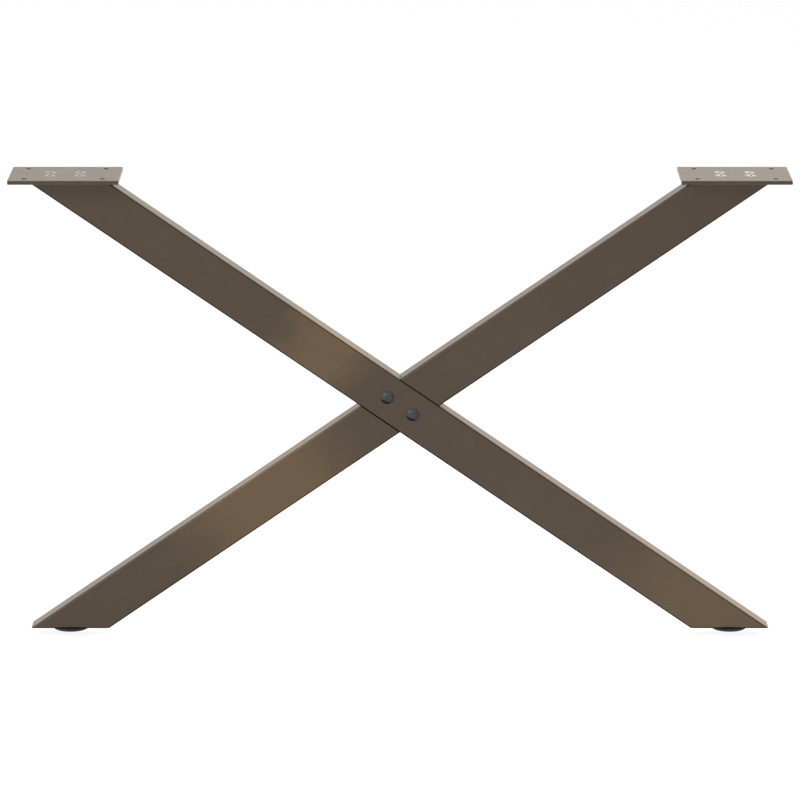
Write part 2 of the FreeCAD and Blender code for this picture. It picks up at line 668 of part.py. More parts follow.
pieces = [
    front_lap_tube, back_lap_tube, front_lap_plate, back_lap_plate,
    cross_bolt_pair, cross_washer_pair, cross_nut_pair,
    left_top_plate, right_top_plate, left_end_plate, right_end_plate, left_plate_screws, right_plate_screws,
    left_bottom_plate, right_bottom_plate, left_foot_nut, right_foot_nut,
    left_foot_stem, right_foot_stem, left_foot_pad, right_foot_pad,
]
group_counts = {
    "cross_bolts": len(cross_bolts),
    "cross_bolt_washers": len(cross_washers),
    "cross_bolt_nuts": len(cross_nuts),
    "left_plate_screws": len(plate_screws),
    "right_plate_screws": len(plate_screws),
}
for piece in pieces:
    if piece.Shape.isNull() or not piece.Shape.isValid():
        raise RuntimeError(piece.Label + " has no valid shape")
    wanted = group_counts.get(piece.Label, 1)
    if len(piece.Shape.Solids) != wanted:
        raise RuntimeError("%s has %d solids, not %d" % (piece.Label, len(piece.Shape.Solids), wanted))

os.makedirs("parts", exist_ok=True)
for piece in pieces:
    piece.Shape.exportStep("parts/" + piece.Label + ".step")
    print("%-20s %10.1f mm3" % (piece.Label, piece.Shape.Volume))
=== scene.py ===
import math

import bmesh
import bpy
from mathutils import Matrix, Vector


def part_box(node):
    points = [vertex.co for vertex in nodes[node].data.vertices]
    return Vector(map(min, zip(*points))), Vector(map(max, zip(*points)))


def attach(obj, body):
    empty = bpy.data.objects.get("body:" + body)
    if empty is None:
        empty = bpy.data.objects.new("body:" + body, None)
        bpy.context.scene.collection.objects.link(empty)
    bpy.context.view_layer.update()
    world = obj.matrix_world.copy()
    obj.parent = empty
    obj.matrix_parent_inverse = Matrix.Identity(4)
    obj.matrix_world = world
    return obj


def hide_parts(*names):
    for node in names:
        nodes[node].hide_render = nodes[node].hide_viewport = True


# X shaped table leg: finishes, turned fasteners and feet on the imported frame, all in metres.
# The pads of the feet stand at z = 0, the leg spreads along X, and its front looks to -Y.

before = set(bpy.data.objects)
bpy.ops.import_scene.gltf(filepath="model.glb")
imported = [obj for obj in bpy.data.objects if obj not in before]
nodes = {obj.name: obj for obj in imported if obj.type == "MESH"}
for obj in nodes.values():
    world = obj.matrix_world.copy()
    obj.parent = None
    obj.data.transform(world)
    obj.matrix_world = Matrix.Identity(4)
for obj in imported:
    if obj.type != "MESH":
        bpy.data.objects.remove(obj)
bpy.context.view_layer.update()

MM = 0.001


# Places read from the frame

def middle(node):
    """The middle of a node's box."""
    low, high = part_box(node)
    return (low + high) / 2


def extent(node):
    """The size of a node's box."""
    low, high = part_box(node)
    return high - low


tube_low, tube_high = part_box("front_lap_tube")
TUBE_DEPTH = tube_high.y - tube_low.y
TUBE_WIDTH = 70 * MM
TUBE_CORNER = 3 * MM
TUBE_RISE = tube_high.z - tube_low.z
UPPER_END = middle("left_top_plate").x
LOWER_END = middle("right_foot_pad").x
TUBE_LEAN = math.atan2(TUBE_RISE, LOWER_END - UPPER_END)
CROSSING = Vector((0.0, 0.0, tube_high.z + UPPER_END * math.tan(TUBE_LEAN)))
LAP_HALF = TUBE_WIDTH / 2 / math.sin(2 * TUBE_LEAN)
TUBE_END = tube_low.z
FRONT_FACE = tube_low.y
BACK_FACE = tube_high.y
PLATE_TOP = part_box("left_top_plate")[1].z


# Node trees

class Wire:
    """A node's output, or a whole tree before its first node. Arithmetic on it adds Math nodes."""

    def __init__(self, tree, socket=None):
        self.tree = tree
        self.socket = socket

    def add(self, kind, settings=None, sockets=None, output=0):
        """Add a node: its settings first, then the values or links of its sockets."""
        node = self.tree.nodes.new(kind)
        for name, value in (settings or {}).items():
            setattr(node, name, value)
        for key, value in (sockets or {}).items():
            if isinstance(value, Wire):
                self.tree.links.new(value.socket, node.inputs[key])
            else:
                node.inputs[key].default_value = value
        return Wire(self.tree, node.outputs[output] if len(node.outputs) else None)

    def out(self, name):
        """Another output of the same node."""
        return Wire(self.tree, self.socket.node.outputs[name])

    def math(self, operation, first, second=0.0):
        """A Math node on one value or two."""
        return self.add("ShaderNodeMath", {"operation": operation}, {0: first, 1: second})

    def __add__(self, other):
        return self.math("ADD", self, other)

    def __radd__(self, other):
        return self.math("ADD", other, self)

    def __sub__(self, other):
        return self.math("SUBTRACT", self, other)

    def __rsub__(self, other):
        return self.math("SUBTRACT", other, self)

    def __mul__(self, other):
        return self.math("MULTIPLY", self, other)

    def __rmul__(self, other):
        return self.math("MULTIPLY", other, self)

    def __truediv__(self, other):
        return self.math("DIVIDE", self, other)

    def __rtruediv__(self, other):
        return self.math("DIVIDE", other, self)

    def __abs__(self):
        return self.math("ABSOLUTE", self)

    def or_more(self, other):
        """The larger of two values."""
        return self.math("MAXIMUM", self, other)

    def smooth(self, start, end):
        """A soft step from 0 at the start to 1 at the end."""
        return self.add("ShaderNodeMapRange", {"interpolation_type": "SMOOTHSTEP"},
                        {"Value": self, "From Min": start, "From Max": end})

    def tint(self, colour, other):
        """The first colour where this value is 0, the other where it is 1."""
        return self.add("ShaderNodeMix", {"data_type": "RGBA"}, {0: self, 6: colour, 7: other}, output=2)


def tone(red, green, blue):
    """A colour given in display values from 0 to 255."""
    linear = []
    for value in (red, green, blue):
        share = value / 255
        linear.append(share / 12.92 if share <= 0.04045 else ((share + 0.055) / 1.055) ** 2.4)
    return (*linear, 1.0)


def new_finish(name):
    """An empty material and the wire that its nodes start from."""
    material = bpy.data.materials.new(name)
    material.use_nodes = True
    material.node_tree.nodes.clear()
    return material, Wire(material.node_tree)


def noise(place, scale, detail=2.0, roughness=0.5):
    """Soft noise, from about 0.3 to 0.7, over a place on the object."""
    return place.add("ShaderNodeTexNoise", None,
                     {"Vector": place, "Scale": scale, "Detail": detail, "Roughness": roughness})


def bumps(height, depth, strength=1.0):
    """A normal that raises the surface by a height from 0 to 1 times the depth in metres."""
    return height.add("ShaderNodeBump", None, {"Height": height, "Distance": depth, "Strength": strength})


def surface(start, **sockets):
    """The principled surface of a finish, and its output."""
    named = {name.replace("_", " ").title().replace("Ior", "IOR"): value for name, value in sockets.items()}
    shader = start.add("ShaderNodeBsdfPrincipled", None, named)
    start.add("ShaderNodeOutputMaterial", None, {"Surface": shader})


# Finishes

BRONZE = tone(73, 63, 53)
# Warm tone of the coat's random mottle and speckle, and of its painted reflections
BRONZE_WARM = tone(102, 85, 63)
# Painted shade along the upper and the lower edges of the tubes
BRONZE_UPPER_EDGE_SHADE = tone(56, 45, 33)
BRONZE_LOWER_EDGE_SHADE = tone(27, 21, 15)
BRONZE_SHEEN = (1.0, 0.9, 0.79, 1.0)
BRONZE_METALLIC = 0.5
BRONZE_ROUGHNESS = 0.34
CLEAR_COAT = 0.3
CLEAR_COAT_ROUGHNESS = 0.2

# How strong the painted shade is along the lower edges of a tube, and along the upper ones
LOWER_EDGE_SHADE = 0.9
FRONT_LAP_UPPER_EDGE_SHADE = 0.85
BACK_LAP_UPPER_EDGE_SHADE = 0.5
EDGE_SHADE_ROUGHENING = 0.3

# The painted shade along the rim of the sawn lower ends, and the length over which it fades
END_SHADE_RIM = 2.2 * MM
END_SHADE_FADE = 1.2 * MM

# How far the outlines of the painted reflections wander along the tube
DRIFT_REACH = 0.09
MOTTLE_REACH = 0.04

# Painted warm reflections in the coat, as clouds: (along the tube from the crossing, half length, strength)
FRONT_LAP_PAINTED_REFLECTIONS = [(-0.154, 0.067, 1.0), (0.285, 0.120, 0.10), (0.570, 0.150, 0.75)]
BACK_LAP_PAINTED_REFLECTIONS = [(-0.254, 0.138, 1.0), (0.178, 0.085, 0.10)]


def bronze_coat(name, lean=0.0, centre=Vector(), painted_reflections=(), upper_edge_shade=None):
    """Satin bronze coat over steel, a little mottled, with painted warm reflections in clouds and painted
    shade along the tube's edges and sawn lower ends.
    """
    material, start = new_finish(name)
    place = start.add("ShaderNodeTexCoord", output="Object")
    along_tube = start.add("ShaderNodeMapping", {"vector_type": "TEXTURE"},
                           {"Vector": place, "Location": centre, "Rotation": (0.0, lean, 0.0)})
    split = start.add("ShaderNodeSeparateXYZ", None, {0: along_tube})
    drift = noise(along_tube, scale=9.0, detail=3.0)
    mottle = noise(along_tube, scale=26.0, detail=4.0)
    speckle = noise(place, scale=1400.0, detail=1.0)

    # Painted reflections: warm, lighter clouds at set places along the tube
    painted_reflection = 0.0
    wandering = split.out("X") + (drift - 0.5) * DRIFT_REACH + (mottle - 0.5) * MOTTLE_REACH
    for middle_along, half_length, strength in painted_reflections:
        reach = abs(wandering - middle_along) / half_length
        painted_reflection = ((1 - reach).smooth(-0.4, 0.7) * strength).or_more(painted_reflection)
    faint = (mottle - 0.5).smooth(0.02, 0.25) * 0.14
    colour = (faint + painted_reflection).tint(BRONZE, BRONZE_WARM)
    colour = ((speckle - 0.5).smooth(-0.3, 0.3) * 0.10).tint(colour, BRONZE_WARM)
    metallic = BRONZE_METALLIC
    coat = CLEAR_COAT
    roughness = BRONZE_ROUGHNESS + (mottle - 0.5) * 0.10 + (speckle - 0.5) * 0.06
    if upper_edge_shade is not None:
        across = (abs(split.out("Z")) - (TUBE_WIDTH / 2 - TUBE_CORNER)) / TUBE_CORNER
        deep = (abs(split.out("Y")) - (TUBE_DEPTH / 2 - TUBE_CORNER)) / TUBE_CORNER
        corner = across.or_more(0.0) * deep.or_more(0.0) * 2
        height = start.add("ShaderNodeSeparateXYZ", None, {0: place}).out("Z")
        end_shade = (TUBE_END + END_SHADE_RIM - height).smooth(0.0, END_SHADE_FADE) * deep.smooth(-0.2, 0.3)
        from_other_tube = abs(split.out("X") - split.out("Z") / math.tan(2 * lean)) - LAP_HALF
        open_below = split.out("Z").smooth(MM, -MM) * from_other_tube.smooth(-MM, MM)
        dark = open_below.or_more(end_shade)
        # Painted shade: the rounded edges and sawn ends are drawn darker, fully metallic and without clear
        # coat
        edge_shade = corner.smooth(0.05, 0.9).or_more(end_shade) * (upper_edge_shade + dark * (LOWER_EDGE_SHADE - upper_edge_shade))
        colour = edge_shade.tint(colour, dark.tint(BRONZE_UPPER_EDGE_SHADE, BRONZE_LOWER_EDGE_SHADE))
        metallic = BRONZE_METALLIC + edge_shade * (1 - BRONZE_METALLIC)
        coat = CLEAR_COAT - edge_shade * CLEAR_COAT
        roughness = roughness + edge_shade * EDGE_SHADE_ROUGHENING

    peel = noise(place, scale=420.0, detail=2.0)
    surface(start, base_color=colour, metallic=metallic, roughness=roughness, specular_tint=BRONZE_SHEEN,
            coat_weight=coat, coat_roughness=CLEAR_COAT_ROUGHNESS, coat_tint=BRONZE_SHEEN,
            normal=bumps(peel, depth=0.08 * MM, strength=0.25))
    return material


# Painted shade: the dark colour put where a finish is given shade, and how fully it covers
PAINTED_SHADE_COLOUR = tone(24, 22, 20)
PAINTED_SHADE_COVER = 0.92
STAIN_SHADE = 0.72

# Depths below the top of the plates at which the painted shade in the sockets starts, and is full
SOCKET_SHADE_START = 0.15 * MM
SOCKET_SHADE_FULL = 0.9 * MM


def below_plate_top(split):
    """1 below the top of the plates, as in the sockets of their screws, where painted shade goes."""
    return (PLATE_TOP - split.out("Z")).smooth(SOCKET_SHADE_START, SOCKET_SHADE_FULL)


def turned_steel(name, colour, roughness, grain_scale, metallic=1.0, gloss=0.5, shade_mask=None):
    """Turned or plated steel with fine grain and small stains, and painted shade where a given function says.
    """
    material, start = new_finish(name)
    place = start.add("ShaderNodeTexCoord", output="Object")
    stain = noise(place, scale=160.0, detail=4.0)
    grain = noise(place, scale=grain_scale, detail=2.0)
    shade = tuple(value * STAIN_SHADE for value in colour[:3]) + (1.0,)
    stained = (stain.smooth(0.35, 0.7) * 0.5).tint(colour, shade)
    # Painted shade over the stained colour, drawn dark and fully metallic
    if shade_mask:
        split = start.add("ShaderNodeSeparateXYZ", None, {0: place})
        shade_amount = shade_mask(split) * PAINTED_SHADE_COVER
        stained = shade_amount.tint(stained, PAINTED_SHADE_COLOUR)
        metallic = metallic + shade_amount * (1 - metallic)
    surface(start, base_color=stained, metallic=metallic, specular_ior_level=gloss,
            roughness=roughness + (grain - 0.5) * 0.16 + (stain - 0.5) * 0.12,
            normal=bumps(grain, depth=0.03 * MM, strength=0.3))
    return material


def moulded_plastic(name):
    """Matt black moulding with a fine grain."""
    material, start = new_finish(name)
    place = start.add("ShaderNodeTexCoord", output="Object")
    grain = noise(place, scale=900.0, detail=3.0)
    cast = noise(place, scale=60.0, detail=2.0)
    colour = cast.smooth(0.3, 0.7).tint(tone(22, 22, 23), tone(32, 32, 33))
    surface(start, base_color=colour, roughness=0.62 + (grain - 0.5) * 0.2,
            normal=bumps(grain, depth=0.06 * MM, strength=0.5))
    return material


def coated(node, material):
    """Give a node of the frame its finish."""
    slots = nodes[node].material_slots
    for slot in slots:
        slot.material = material
    if not len(slots):
        nodes[node].data.materials.append(material)


plate_coat = bronze_coat("bronze_coat_plates")
coated("front_lap_tube",
       bronze_coat("bronze_coat_front_lap", TUBE_LEAN, CROSSING, FRONT_LAP_PAINTED_REFLECTIONS, FRONT_LAP_UPPER_EDGE_SHADE))
coated("back_lap_tube",
       bronze_coat("bronze_coat_back_lap", -TUBE_LEAN, CROSSING, BACK_LAP_PAINTED_REFLECTIONS, BACK_LAP_UPPER_EDGE_SHADE))
mill_steel = turned_steel("mill_steel", tone(150, 147, 142), roughness=0.45, grain_scale=700.0)
zinc_steel = turned_steel("zinc_steel", tone(198, 197, 193), roughness=0.3, grain_scale=1200.0)
# The plate screws get painted shade down in their sockets
screw_steel = turned_steel("screw_steel", tone(172, 169, 163), roughness=0.42, grain_scale=1200.0,
                           shade_mask=below_plate_top)
black_plastic = moulded_plastic("black_plastic")
for side in ("left", "right"):
    coated(side + "_top_plate", plate_coat)
    coated(side + "_bottom_plate", plate_coat)
    coated(side + "_end_plate", mill_steel)
    coated(side + "_foot_nut", mill_steel)
for lap in ("front", "back"):
    coated(lap + "_lap_plate", mill_steel)


# Turned pieces: rows of points round the Z axis, joined into a closed skin

SEGMENTS = 48
SAME_POINT = 1e-7
SHARP_EDGE = math.radians(32)

# Threads: rows in one pitch, and the shares of half a pitch that the flat root and the flank take
ROWS_IN_PITCH = 10
ROOT_SHARE = 0.08
FLANK_SHARE = 0.78


def ring(radius, height):
    """A round row."""
    return lambda angle: (radius, height)


def prism(sides, width, height):
    """A row of a regular prism, given across its flats."""
    step = 2 * math.pi / sides
    return lambda angle: (width / 2 / math.cos((angle + step / 2) % step - step / 2), height)


def ridge(core, depth, pitch, height):
    """A row of a thread."""
    def row(angle):
        turn = (height / pitch - angle / (2 * math.pi)) % 1.0
        rise = min(1.0, max(0.0, (1 - abs(2 * turn - 1) - ROOT_SHARE) / FLANK_SHARE))
        return core + depth * rise, height
    return row


def thread(radius, depth, pitch, start, end):
    """Rows of a thread along Z, from the start height to the end."""
    count = max(2, int(abs(end - start) / pitch * ROWS_IN_PITCH))
    heights = [start + (end - start) * step / count for step in range(count + 1)]
    return [ridge(radius - depth, depth, pitch, height) for height in heights]


def turned(name, rows, closed=False):
    """A mesh from rows of points, which ends in single points, or in its own first row if it is closed."""
    mesh = bpy.data.meshes.new(name)
    shape = bmesh.new()
    rings = []
    for row in rows:
        spots = []
        for index in range(SEGMENTS):
            angle = 2 * math.pi * index / SEGMENTS
            radius, height = row(angle)
            spots.append(shape.verts.new((radius * math.cos(angle), radius * math.sin(angle), height)))
        rings.append(spots)
    count = len(rings) if closed else len(rings) - 1
    for index in range(count):
        lower = rings[index]
        upper = rings[(index + 1) % len(rings)]
        for step in range(SEGMENTS):
            following = (step + 1) % SEGMENTS
            shape.faces.new((lower[step], lower[following], upper[following], upper[step]))
    bmesh.ops.remove_doubles(shape, verts=shape.verts, dist=SAME_POINT)
    bmesh.ops.recalc_face_normals(shape, faces=shape.faces)
    for face in shape.faces:
        face.smooth = True
    for edge in shape.edges:
        edge.smooth = len(edge.link_faces) < 2 or edge.calc_face_angle() < SHARP_EDGE
    shape.to_mesh(mesh)
    shape.free()
    return mesh


def shown(name, mesh, material=None):
    """An object of that mesh in the scene."""
    thing = bpy.data.objects.new(name, mesh)
    bpy.context.scene.collection.objects.link(thing)
    if material:
        mesh.materials.append(material)
    return thing


# Fasteners on their seats

def seating_tree():
    """A node tree that sets one fastener on every seat point, turned to its seat."""
    tree = bpy.data.node_groups.new("fasteners_on_seats", "GeometryNodeTree")
    inputs = {}
    for name, kind in (("Seats", "NodeSocketGeometry"), ("Fastener", "NodeSocketObject"),
                       ("Turn", "NodeSocketRotation"), ("Finish", "NodeSocketMaterial")):
        inputs[name] = tree.interface.new_socket(name, in_out="INPUT", socket_type=kind).identifier
    tree.interface.new_socket("Fasteners", in_out="OUTPUT", socket_type="NodeSocketGeometry")
    given = Wire(tree).add("NodeGroupInput")
    fastener = given.add("GeometryNodeObjectInfo", None, {"Object": given.out("Fastener")},
                         output="Geometry")
    placed = given.add("GeometryNodeInstanceOnPoints", None,
                       {"Points": given.out("Seats"), "Instance": fastener, "Rotation": given.out("Turn")})
    solid = given.add("GeometryNodeRealizeInstances", None, {0: placed})
    finished = given.add("GeometryNodeSetMaterial", None,
                         {"Geometry": solid, "Material": given.out("Finish")})
    given.add("NodeGroupOutput", None, {0: finished})
    return tree, inputs


SEATING, SEATING_INPUTS = seating_tree()


def seated(name, fastener_mesh, seats, turn, material):
    """One plain mesh of a fastener repeated on its seats."""
    pattern = shown(name + "_pattern", fastener_mesh)
    points = bpy.data.meshes.new(name)
    points.from_pydata([tuple(seat) for seat in seats], [], [])
    piece = shown(name, points)
    modifier = piece.modifiers.new("on_seats", "NODES")
    modifier.node_group = SEATING
    modifier[SEATING_INPUTS["Fastener"]] = pattern
    modifier[SEATING_INPUTS["Turn"]] = turn.to_euler()
    modifier[SEATING_INPUTS["Finish"]] = material
    evaluated = piece.evaluated_get(bpy.context.evaluated_depsgraph_get())
    mesh = bpy.data.meshes.new_from_object(evaluated)
    piece.modifiers.clear()
    piece.data = mesh
    mesh.name = name
    bpy.data.objects.remove(pattern)
    return piece


# Countersunk plate screws with hexagon sockets

SCREW_SEAT = 18 * MM
SCREW_HEAD = 17.4 * MM
SCREW_SHANK = 8 * MM
SCREW_LENGTH = extent("left_plate_screws").z
SCREW_SPACING_X = extent("left_plate_screws").x - SCREW_SEAT
SCREW_SPACING_Y = extent("left_plate_screws").y - SCREW_SEAT
SCREW_CONE = (SCREW_SEAT - SCREW_SHANK) / 2
SOCKET_WIDTH = 5 * MM
SOCKET_DEPTH = 3 * MM
SOCKET_POINT = 0.9 * MM
SOCKET_CHAMFER = 0.35 * MM
SOCKET_MOUTH = SOCKET_WIDTH * 0.62
SOCKET_RIM = SOCKET_WIDTH * 0.66
SOCKET_RIM_DROP = 0.06 * MM
HEAD_EDGE = 0.25 * MM
HEAD_BEND = 0.06 * MM
HEAD_BEND_DROP = 0.07 * MM
HEAD_BAND_TOP = 0.2 * MM
HEAD_BAND_END = 0.4 * MM
SCREW_NECKING = 0.5 * MM
SCREW_NECKING_END = 0.7 * MM
SCREW_THREAD_START = 0.8 * MM
SCREW_THREAD_DEPTH = 0.6 * MM
SCREW_TIP = 1.0 * MM
THREAD_PITCH = 1.25 * MM
THREAD_TIP_STEP = 0.9 * MM

screw_mesh = turned("plate_screw", [
    ring(0.0, -SOCKET_DEPTH - SOCKET_POINT),
    prism(6, SOCKET_WIDTH, -SOCKET_DEPTH),
    prism(6, SOCKET_WIDTH, -SOCKET_CHAMFER),
    ring(SOCKET_MOUTH, -SOCKET_RIM_DROP),
    ring(SOCKET_RIM, 0.0),
    ring(SCREW_HEAD / 2 - HEAD_EDGE, 0.0),
    ring(SCREW_HEAD / 2 - HEAD_BEND, -HEAD_BEND_DROP),
    ring(SCREW_HEAD / 2, -HEAD_BAND_TOP),
    ring(SCREW_HEAD / 2, -HEAD_BAND_END),
    ring(SCREW_SHANK / 2, -SCREW_CONE),
    ring(SCREW_SHANK / 2 - SCREW_NECKING, -SCREW_CONE - SCREW_NECKING_END),
    *thread(SCREW_SHANK / 2, SCREW_THREAD_DEPTH, THREAD_PITCH,
            -SCREW_CONE - SCREW_THREAD_START, -SCREW_LENGTH + SCREW_TIP),
    ring(SCREW_SHANK / 2 - THREAD_TIP_STEP, -SCREW_LENGTH),
    ring(0.0, -SCREW_LENGTH),
])
for side in ("left", "right"):
    plate_middle = middle(side + "_top_plate").x
    seats = [(plate_middle + x * SCREW_SPACING_X / 2, y * SCREW_SPACING_Y / 2, PLATE_TOP)
             for x in (-1, 1) for y in (-1, 1)]
    screws = seated(side + "_socket_screws", screw_mesh.copy(), seats, Matrix.Identity(3), screw_steel)
    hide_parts(side + "_plate_screws")
    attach(screws, "frame")


# Cross bolts with domed heads and square necks, washers and nuts

BOLT_SHANK = 8 * MM
BOLT_HEAD = 20.6 * MM
BOLT_HEAD_HEIGHT = 4.9 * MM
BOLT_NECK = 8.6 * MM
BOLT_NECK_LENGTH = 4.5 * MM
BOLT_SPACING = 48 * MM
BOLT_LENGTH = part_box("cross_bolts")[1].y - FRONT_FACE
BOLT_THREAD = 22 * MM
BOLT_THREAD_DEPTH = 0.65 * MM
BOLT_TIP = 0.7 * MM
DOME_ROWS = 14
DOME_FULLNESS = 0.7
DOME_EDGE_HEIGHT = 0.25 * MM
DOME_EDGE = 0.15 * MM

# The painted shade on the dome heads' lower left rim: the way it faces, and the shares of the radius where it
# starts and is full
LOWER_LEFT = Vector((-0.34, 0.0, -0.94))
RIM_START = 0.38
RIM_FULL = 0.62

along_front_lap = Vector((math.cos(TUBE_LEAN), 0.0, -math.sin(TUBE_LEAN)))


def under_bolt_heads(split):
    """1 along the lower left rim of each domed head, where painted shade goes."""
    across = split.out("X") - CROSSING.x
    above = split.out("Z") - CROSSING.z
    along = across * along_front_lap.x + above * along_front_lap.z
    which = along.math("SIGN", along) * (BOLT_SPACING / 2)
    from_bolt_x = across - which * along_front_lap.x
    from_bolt_z = above - which * along_front_lap.z
    below = from_bolt_x * LOWER_LEFT.x + from_bolt_z * LOWER_LEFT.z
    return (below / (BOLT_HEAD / 2)).smooth(RIM_START, RIM_FULL)


# The blackened bolts get painted shade along the lower left rim of their domed heads
dark_steel = turned_steel("dark_steel", tone(76, 78, 82), roughness=0.38, grain_scale=1500.0,
                          metallic=0.1, gloss=0.25, shade_mask=under_bolt_heads)

dome_radius = ((BOLT_HEAD / 2) ** 2 + BOLT_HEAD_HEIGHT ** 2) / (2 * BOLT_HEAD_HEIGHT)
dome_rows = []
for index in range(DOME_ROWS):
    height = BOLT_HEAD_HEIGHT * math.cos(math.pi / 2 * index / DOME_ROWS)
    spherical = math.sqrt(max(0.0, dome_radius ** 2 - (dome_radius - BOLT_HEAD_HEIGHT + height) ** 2))
    oval = BOLT_HEAD / 2 * math.sqrt(1 - (height / BOLT_HEAD_HEIGHT) ** 2)
    dome_rows.append(ring(spherical + (oval - spherical) * DOME_FULLNESS, height))

bolt_mesh = turned("cross_bolt", [
    *dome_rows,
    ring(BOLT_HEAD / 2, DOME_EDGE_HEIGHT),
    ring(BOLT_HEAD / 2 - DOME_EDGE, 0.0),
    prism(4, BOLT_NECK, 0.0),
    prism(4, BOLT_NECK, -BOLT_NECK_LENGTH),
    ring(BOLT_SHANK / 2, -BOLT_NECK_LENGTH),
    ring(BOLT_SHANK / 2, -BOLT_LENGTH + BOLT_THREAD),
    *thread(BOLT_SHANK / 2, BOLT_THREAD_DEPTH, THREAD_PITCH,
            -BOLT_LENGTH + BOLT_THREAD, -BOLT_LENGTH + BOLT_TIP),
    ring(BOLT_SHANK / 2 - THREAD_TIP_STEP, -BOLT_LENGTH),
    ring(0.0, -BOLT_LENGTH),
])

WASHER_DIAMETER = 16 * MM
WASHER_BORE = 8.4 * MM
WASHER_THICKNESS = 1.6 * MM
WASHER_EDGE = 0.2 * MM
washer_mesh = turned("cross_bolt_washer", [
    ring(WASHER_BORE / 2, WASHER_EDGE),
    ring(WASHER_BORE / 2 + WASHER_EDGE, 0.0),
    ring(WASHER_DIAMETER / 2 - WASHER_EDGE, 0.0),
    ring(WASHER_DIAMETER / 2, WASHER_EDGE),
    ring(WASHER_DIAMETER / 2, WASHER_THICKNESS - WASHER_EDGE),
    ring(WASHER_DIAMETER / 2 - WASHER_EDGE, WASHER_THICKNESS),
    ring(WASHER_BORE / 2 + WASHER_EDGE, WASHER_THICKNESS),
    ring(WASHER_BORE / 2, WASHER_THICKNESS - WASHER_EDGE),
], closed=True)

NUT_WIDTH = 13 * MM
NUT_HEIGHT = 6.5 * MM
NUT_BORE = 8.2 * MM
NUT_CHAMFER = 0.4 * MM
NUT_FACE = NUT_WIDTH / 2 * 0.95
NUT_SLOPE = math.tan(math.radians(30))


def nut_corner(low):
    """The row where the slanted end of the nut meets its six flats."""
    def row(angle):
        radius, _ = prism(6, NUT_WIDTH, 0.0)(angle)
        drop = (radius - NUT_FACE) * NUT_SLOPE
        return radius, drop if low else NUT_HEIGHT - drop
    return row


nut_mesh = turned("cross_bolt_nut", [
    ring(NUT_BORE / 2, NUT_CHAMFER),
    ring(NUT_BORE / 2 + NUT_CHAMFER, 0.0),
    ring(NUT_FACE, 0.0),
    nut_corner(low=True),
    nut_corner(low=False),
    ring(NUT_FACE, NUT_HEIGHT),
    ring(NUT_BORE / 2 + NUT_CHAMFER, NUT_HEIGHT),
    ring(NUT_BORE / 2, NUT_HEIGHT - NUT_CHAMFER),
], closed=True)

towards_front = Vector((0.0, -1.0, 0.0))
towards_back = Vector((0.0, 1.0, 0.0))


def facing(outward):
    """The turn that points a fastener's Z axis outward and its X axis along the front-lap tube."""
    return Matrix((along_front_lap, outward.cross(along_front_lap), outward)).transposed()


bolt_places = [CROSSING + along_front_lap * (side * BOLT_SPACING / 2) for side in (-1, 1)]
cross_fasteners = [
    ("cross_coach_bolts", bolt_mesh, towards_front, FRONT_FACE, dark_steel, "cross_bolts", "dark_steel"),
    ("cross_washers", washer_mesh, towards_back, BACK_FACE, zinc_steel, "cross_bolt_washers", "bright_steel"),
    ("cross_nuts", nut_mesh, towards_back, BACK_FACE + WASHER_THICKNESS, zinc_steel, "cross_bolt_nuts",
     "bright_steel"),
]
for name, mesh, outward, level, material, node, slot in cross_fasteners:
    seats = [(place.x, level, place.z) for place in bolt_places]
    fasteners = seated(name, mesh, seats, facing(outward), material)
    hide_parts(node)
    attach(fasteners, "frame")


# Levelling feet: a threaded stem with a flange, sunk in a round pad

STEM_DIAMETER = 9.5 * MM
STEM_PITCH = 1.5 * MM
STEM_THREAD_START = 0.1 * MM
STEM_THREAD_DEPTH = 0.8 * MM
STEM_TIP = 1.0 * MM
STEM_TIP_STEP = 1.2 * MM
FLANGE_DIAMETER = 24 * MM
FLANGE_SEAT = 2 * MM
FLANGE_EDGE = 0.2 * MM
FLANGE_GAP = 0.1 * MM
PAD_EDGE = 0.9 * MM
PAD_EDGE_ROWS = 5
GROOVE_HALF = 0.6 * MM
GROOVE_DEPTH = 0.35 * MM
GROOVE_RADII = [15 * MM, 19 * MM, 23 * MM]

pad_low, pad_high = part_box("left_foot_pad")
PAD_RADIUS = (pad_high.x - pad_low.x) / 2
PAD_HEIGHT = pad_high.z
STEM_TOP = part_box("left_foot_stem")[1].z


def rounded(radius, height, start):
    """Rows of a rim about a point of the section: a quarter turn upwards from the start, in degrees."""
    rows = []
    for index in range(PAD_EDGE_ROWS + 1):
        angle = math.radians(start + 90.0 * index / PAD_EDGE_ROWS)
        rows.append(ring(radius + PAD_EDGE * math.cos(angle), height + PAD_EDGE * math.sin(angle)))
    return rows


def groove(radius):
    """Rows of a shallow ring moulded into the underside."""
    return [ring(radius - GROOVE_HALF, 0.0), ring(radius - GROOVE_HALF / 2, GROOVE_DEPTH),
            ring(radius + GROOVE_HALF / 2, GROOVE_DEPTH), ring(radius + GROOVE_HALF, 0.0)]


stem_rows = [
    ring(0.0, FLANGE_SEAT),
    ring(FLANGE_DIAMETER / 2, FLANGE_SEAT),
    ring(FLANGE_DIAMETER / 2, PAD_HEIGHT - FLANGE_EDGE),
    ring(FLANGE_DIAMETER / 2 - FLANGE_EDGE, PAD_HEIGHT),
    ring(STEM_DIAMETER / 2, PAD_HEIGHT),
    *thread(STEM_DIAMETER / 2, STEM_THREAD_DEPTH, STEM_PITCH,
            PAD_HEIGHT + STEM_THREAD_START, STEM_TOP - STEM_TIP),
    ring(STEM_DIAMETER / 2 - STEM_TIP_STEP, STEM_TOP),
    ring(0.0, STEM_TOP),
]
pad_rows = [ring(0.0, 0.0)]
for radius in GROOVE_RADII:
    pad_rows += groove(radius)
pad_rows += rounded(PAD_RADIUS - PAD_EDGE, PAD_EDGE, -90.0)
pad_rows += rounded(PAD_RADIUS - PAD_EDGE, PAD_HEIGHT - PAD_EDGE, 0.0)
